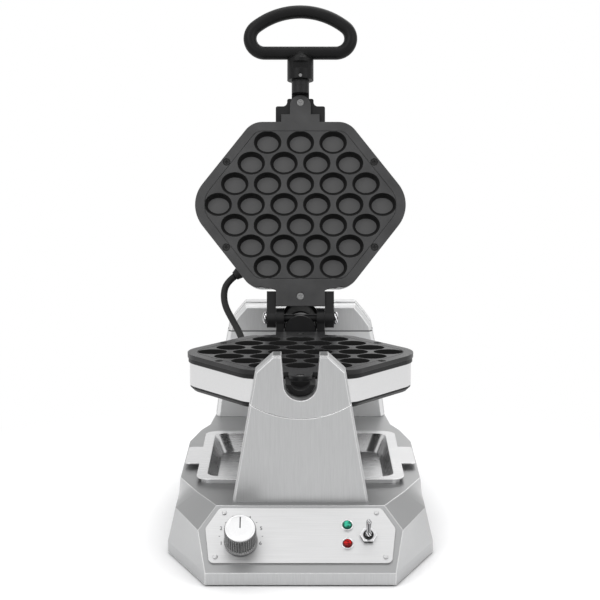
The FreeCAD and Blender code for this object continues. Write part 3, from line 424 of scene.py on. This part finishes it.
def makeLens(name, tint):  # coloured faceted lens: light and dark facets as painted reflections, and a painted dark rim
    material, tree, shader = startMaterial(name, **lensLook["plain"])
    grain = placeGroup(tree, speckle, Grain=lensLook["grain"])
    deep = tuple(c * lensLook["deep"] for c in tint)
    pale = tuple(min(1.0, c * lensLook["pale"]) for c in tint)
    # painted reflections: random light and dark facets in the lens colour
    facetReflections = rampColor(tree, grain.outputs["Fine"], deep, pale, lensLook["span"])
    rim = placeGroup(tree, wallMask, Facing=tuple(panelOut))
    # painted shade: a dark rim where the lens slopes away from the panel
    tree.links.new(mixColor(tree, rim.outputs["Wall"], facetReflections, deep), shader.inputs["Base Color"])
    tree.links.new(rampValue(tree, grain.outputs["Drift"], *lensLook["rough"]), shader.inputs["Roughness"])
    return material


finishes = {name: makeMetal(name, look) for name, look in metalFinish.items()}
finishes.update({name: makeDark(name, look) for name, look in darkFinish.items()})
finishes.update({name: makeLens(name, tint) for name, tint in lensFinish.items()})
slotFinish = {"satin_metal": "satinMetal", "chrome": "chrome",
              "coated_cast": "plateCoat", "cast_dark": "castDark", "handle_plastic": "handlePlastic",
              "dark_plastic": "darkPlastic", "rubber": "rubber", "bronze": "bronze",
              "green_lens": "greenLens", "red_lens": "redLens", "turned_aluminium": "turnedAluminium",
              "element_steel": "elementSteel"}
nodeFinish = {"control_panel": "panelSteel", "panel_rivets": "rivetSteel", "lower_band": "bandSteel",
              "upper_band": "bandSteel", "tower_front": "towerMetal", "tower_rear": "towerBack",
              "drip_tray": "traySteel", "upper_plate": "lidCoat", "upper_frame": "lidCoat",
              "hinge_pin": "castDark", "bearing_housing": "boreDark", "turning_shaft": "castDark",
              "switch_nut": "switchChrome", "toggle_lever": "switchChrome", "pin_caps": "switchChrome",
              "upper_tab_screws": "screwSteel", "lower_tab_screws": "screwSteel",
              "handle_screw": "screwSteel"}
slotOf = {s["node"]: s["material_slot"] for s in frame["record"]["subparts"]}
for name, piece in nodes.items():
    finish = nodeFinish.get(name) or slotFinish[slotOf[name]]
    piece.data.materials.clear()
    piece.data.materials.append(finishes[finish])
print("finishes placed:", len(finishes))


def addPiece(name, vertices, faces, finish, body, smooth=True):
    mesh = bpy.data.meshes.new(name)
    mesh.from_pydata([tuple(v) for v in vertices], [], faces)
    mesh.materials.append(finishes[finish])
    mesh.polygons.foreach_set("use_smooth", [smooth] * len(mesh.polygons))
    piece = bpy.data.objects.new(name, mesh)
    scene.collection.objects.link(piece)
    if body:
        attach(piece, body)
    return piece


# control panel directions: across the panel and up its slope
panelAcross = Vector((1, 0, 0))
panelUp = panelOut.cross(panelAcross)
knobAxis = Vector(joints["dial_turn"]["pos_m"])
panelFace = max(v.co.dot(panelOut) for v in nodes["control_panel"].data.vertices)
panelCentre = knobAxis + panelOut * (panelFace - knobAxis.dot(panelOut))  # on the panel, under the dial

# dial knob: fluted sides, turned top, pointer line; each step is (inset, height from foot or top, ribbed)
knobLook = {"flutes": 40, "steps": 320, "radius": 0.0145, "fluteDepth": 0.0011, "height": 0.0240,
            "lift": 0.0006, "bore": 0.0032, "cap": 0.0070, "capDrop": 0.0005, "sideRings": 8,
            "footSteps": ((0.0, 0.0, 0), (-0.0002, 0.0006, 0), (-0.0002, 0.0022, 0), (0.0005, 0.0028, 0),
                          (0.0004, 0.0036, 1)),
            "topSteps": ((0.0005, 0.0022, 1), (0.0009, 0.0012, 0.6), (0.0014, 0.0004, 0), (0.0020, 0.0, 0),
                         (0.0030, 0.0, 0), (0.0034, 0.0004, 0))}


def knobPoint(across, along, rise):
    return panelCentre + panelAcross * across + panelUp * along + panelOut * rise


def makeKnob():
    low = knobLook["lift"]
    top = low + knobLook["height"]
    big = knobLook["radius"]
    profile = [(knobLook["bore"], low, 0)]
    profile += [(big - inset, low + rise, ribbed) for inset, rise, ribbed in knobLook["footSteps"]]
    profile += [(big - inset, top - drop, ribbed) for inset, drop, ribbed in knobLook["topSteps"]]
    profile.append((knobLook["cap"], top - knobLook["capDrop"], 0))
    count = knobLook["steps"]
    vertices, faces = [], []
    for radius, rise, ribbed in profile:
        for i in range(count):
            turn = 2 * math.pi * i / count
            rib = 0.5 + 0.5 * math.cos(knobLook["flutes"] * turn)
            reach = radius - ribbed * knobLook["fluteDepth"] * rib ** 2
            vertices.append(knobPoint(reach * math.cos(turn), reach * math.sin(turn), rise))
    for ring in range(len(profile) - 1):
        for i in range(count):
            j = (i + 1) % count
            here, above = ring * count, (ring + 1) * count
            faces.append((here + i, here + j, above + j, above + i))
    faces.append(tuple(range((len(profile) - 1) * count, len(profile) * count)))
    knob = addPiece("dialKnobFluted", vertices, faces, "turnedAluminium", "dial", False)
    knob.data.materials.append(finishes["knobRib"])
    for face in knob.data.polygons[:knobLook["sideRings"] * count]:
        face.material_index = 1
    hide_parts("dial_knob")
    return knob


pointerLook = {"half": 0.0005, "start": 0.0004, "margin": 0.0036, "under": 0.0006, "over": 0.0003}


def makePointer():  # dark line from the middle of the knob's face to its rim
    top = knobLook["lift"] + knobLook["height"]
    half, start = pointerLook["half"], pointerLook["start"]
    stop = knobLook["radius"] - pointerLook["margin"]
    corners = [(-half, start), (half, start), (half, stop), (-half, stop)]
    vertices = [knobPoint(x, y, top - pointerLook["under"]) for x, y in corners]
    vertices += [knobPoint(x, y, top - pointerLook["over"]) for x, y in corners]
    faces = [(3, 2, 1, 0), (4, 5, 6, 7), (0, 1, 5, 4), (1, 2, 6, 5), (2, 3, 7, 6), (3, 0, 4, 7)]
    line = addPiece("dialPointer", vertices, faces, "darkPlastic", "dial", False)


makeKnob()
makePointer()

# printed scale round the dial: numbers and dashes
scaleLook = {"radius": 0.0188, "size": 0.0050, "start": 204.6, "sweep": 229.2, "rise": 0.0062,
             "thick": 0.00004, "above": 0.00005,
             "marks": ("1", "-", "2", "-", "3", "-", "4", "-", "5", "-", "6")}


def makeScale():
    upright = Matrix((panelAcross, panelUp, panelOut)).transposed().to_4x4()
    gaps = len(scaleLook["marks"]) - 1
    for index, mark in enumerate(scaleLook["marks"]):
        turn = math.radians(scaleLook["start"] - scaleLook["sweep"] * index / gaps)
        letter = bpy.data.curves.new("scaleMark", "FONT")
        letter.body = mark
        letter.size = scaleLook["size"]
        letter.align_x = "CENTER"
        letter.align_y = "CENTER"
        letter.extrude = scaleLook["thick"]
        loose = bpy.data.objects.new("scaleMark", letter)
        scene.collection.objects.link(loose)
        bpy.context.view_layer.update()
        mesh = bpy.data.meshes.new_from_object(loose.evaluated_get(bpy.context.evaluated_depsgraph_get()))
        bpy.data.objects.remove(loose)
        along = scaleLook["radius"] * math.sin(turn) + scaleLook["rise"]
        place = knobPoint(scaleLook["radius"] * math.cos(turn), along, scaleLook["above"])
        mesh.transform(Matrix.Translation(place) @ upright)
        mesh.materials.clear()
        mesh.materials.append(finishes["darkPlastic"])
        piece = bpy.data.objects.new("scaleMark%02d" % index, mesh)
        scene.collection.objects.link(piece)
        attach(piece, "base")


makeScale()
print("dial made")

# lid cable: one smooth line from the lid's gland to the lower gland
cableLook = {"radius": 0.0035, "sides": 20, "resolution": 12, "route": (
    (-0.06816, 0.13211, 0.21879), (-0.07603, 0.13044, 0.21285), (-0.08000, 0.12927, 0.20200),
    (-0.07850, 0.12577, 0.18850), (-0.07100, 0.12067, 0.17530), (-0.06300, 0.11267, 0.16280),
    (-0.05850, 0.10317, 0.15180), (-0.05581, 0.09398, 0.14600), (-0.05143, 0.08499, 0.14600))}


def cableLine():
    curve = bpy.data.curves.new("cableLine", "CURVE")
    curve.dimensions = "3D"
    curve.resolution_u = cableLook["resolution"]
    spline = curve.splines.new("NURBS")
    spline.points.add(len(cableLook["route"]) - 1)
    for point, place in zip(spline.points, cableLook["route"]):
        point.co = (*place, 1)
    spline.order_u = 3
    spline.use_endpoint_u = True
    loose = bpy.data.objects.new("cableLine", curve)
    scene.collection.objects.link(loose)
    bpy.context.view_layer.update()
    mesh = bpy.data.meshes.new_from_object(loose.evaluated_get(bpy.context.evaluated_depsgraph_get()))
    points = [v.co.copy() for v in mesh.vertices]
    bpy.data.objects.remove(loose)
    return points


def makeCable():
    points = cableLine()
    sides, radius = cableLook["sides"], cableLook["radius"]
    vertices, faces = [], []
    side = Vector((0, 1, 0))
    for i, point in enumerate(points):
        ahead, behind = points[min(i + 1, len(points) - 1)], points[max(i - 1, 0)]
        way = (ahead - behind).normalized()
        side = (side - way * side.dot(way)).normalized()
        other = way.cross(side)
        for k in range(sides):
            turn = 2 * math.pi * k / sides
            vertices.append(point + (side * math.cos(turn) + other * math.sin(turn)) * radius)
    for i in range(len(points) - 1):
        for k in range(sides):
            n = (k + 1) % sides
            here, beyond = i * sides, (i + 1) * sides
            faces.append((here + k, here + n, beyond + n, beyond + k))
    faces.append(tuple(reversed(range(sides))))
    faces.append(tuple(range((len(points) - 1) * sides, len(points) * sides)))
    cable = addPiece("lidCable", vertices, faces, "rubber", None)
    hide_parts("lid_cable")
    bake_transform(cable)


makeCable()

# floor, light and camera
floorLook = {"half": 6.0, "tint": (0.86, 0.86, 0.865, 1), "glow": 0.42, "reach": 0.05, "samples": 8,
             "depth": 2.0, "fade": (0.26, 0.50)}


def makeFloor():
    half = floorLook["half"]
    mesh = bpy.data.meshes.new("floor")
    corners = [(-half, -half, 0), (half, -half, 0), (half, half, 0), (-half, half, 0)]
    mesh.from_pydata(corners, [], [(0, 1, 2, 3)])
    floor = bpy.data.objects.new("floor", mesh)
    scene.collection.objects.link(floor)
    material = bpy.data.materials.new("floorPaper")
    material.use_nodes = True
    tree = material.node_tree
    tree.nodes.remove(tree.nodes["Principled BSDF"])
    matte = addNode(tree, "ShaderNodeBsdfDiffuse", Color=floorLook["tint"])
    glow = addNode(tree, "ShaderNodeEmission")
    ray = tree.nodes.new("ShaderNodeLightPath")
    seen = mathNode(tree, "MAXIMUM", ray.outputs["Is Camera Ray"], ray.outputs["Is Glossy Ray"])
    # painted shadow: the floor's glow is dimmed by ambient occlusion close to the object
    near = addNode(tree, "ShaderNodeAmbientOcclusion", Distance=floorLook["reach"],
                   samples=floorLook["samples"])
    clear = mathNode(tree, "POWER", near.outputs["AO"], floorLook["depth"])
    lit = mathNode(tree, "MULTIPLY", clear, floorLook["glow"])
    tree.links.new(mathNode(tree, "MULTIPLY", seen, lit), glow.inputs["Strength"])
    both = tree.nodes.new("ShaderNodeAddShader")
    tree.links.new(matte.outputs[0], both.inputs[0])
    tree.links.new(glow.outputs[0], both.inputs[1])
    white = addNode(tree, "ShaderNodeEmission", Strength=1.0)
    place = tree.nodes.new("ShaderNodeTexCoord")
    reach = addNode(tree, "ShaderNodeVectorMath", operation="LENGTH")
    tree.links.new(place.outputs["Object"], reach.inputs[0])
    far = mathNode(tree, "MULTIPLY", stepValue(tree, reach.outputs["Value"], *floorLook["fade"]), seen)
    blend = tree.nodes.new("ShaderNodeMixShader")
    tree.links.new(far, blend.inputs[0])
    tree.links.new(both.outputs[0], blend.inputs[1])
    tree.links.new(white.outputs[0], blend.inputs[2])
    tree.links.new(blend.outputs[0], tree.nodes["Material Output"].inputs["Surface"])
    mesh.materials.append(material)


lightLook = {"sky": 0.42, "aim": (0, 0, 0.2), "lamps": (
    ("keyLamp", (-1.3, -1.6, 1.9), 1.4, 17), ("fillLamp", (1.6, -1.2, 1.3), 1.4, 9),
    ("topLamp", (0.0, 0.3, 2.2), 1.8, 14), ("rimLamp", (0.6, 1.7, 1.5), 1.2, 8))}


def makeLight():
    world = bpy.data.worlds.new("studio")
    scene.world = world
    world.use_nodes = True
    tree = world.node_tree
    sky = tree.nodes["Background"]
    ray = tree.nodes.new("ShaderNodeLightPath")
    seen = mathNode(tree, "MAXIMUM", ray.outputs["Is Camera Ray"], ray.outputs["Is Glossy Ray"])
    seen = mathNode(tree, "MAXIMUM", seen, ray.outputs["Is Transmission Ray"])
    strength = tree.nodes.new("ShaderNodeMapRange")
    strength.inputs["To Min"].default_value = lightLook["sky"]
    strength.inputs["To Max"].default_value = 1.0
    tree.links.new(seen, strength.inputs["Value"])
    tree.links.new(strength.outputs[0], sky.inputs["Strength"])
    sky.inputs["Color"].default_value = (1, 1, 1, 1)
    for name, place, size, power in lightLook["lamps"]:
        lamp = bpy.data.lights.new(name, "AREA")
        lamp.size = size
        lamp.energy = power
        holder = bpy.data.objects.new(name, lamp)
        holder.location = place
        aim = Vector(lightLook["aim"]) - Vector(place)
        holder.rotation_euler = aim.to_track_quat("-Z", "Y").to_euler()
        scene.collection.objects.link(holder)


cameraLook = {"place": (-0.0004, -1.6008, 0.4829), "down": 9.4749, "lens": 100.99, "sensor": 36.0}


def makeCamera():
    lens = bpy.data.cameras.new("photoCamera")
    lens.lens = cameraLook["lens"]
    lens.sensor_width = cameraLook["sensor"]
    holder = bpy.data.objects.new("photoCamera", lens)
    holder.location = cameraLook["place"]
    holder.rotation_euler = (math.radians(90 - cameraLook["down"]), 0, 0)
    scene.collection.objects.link(holder)
    scene.camera = holder


makeFloor()
makeLight()
makeCamera()
scene.view_settings.view_transform = "Standard"
print("floor, light and camera placed")
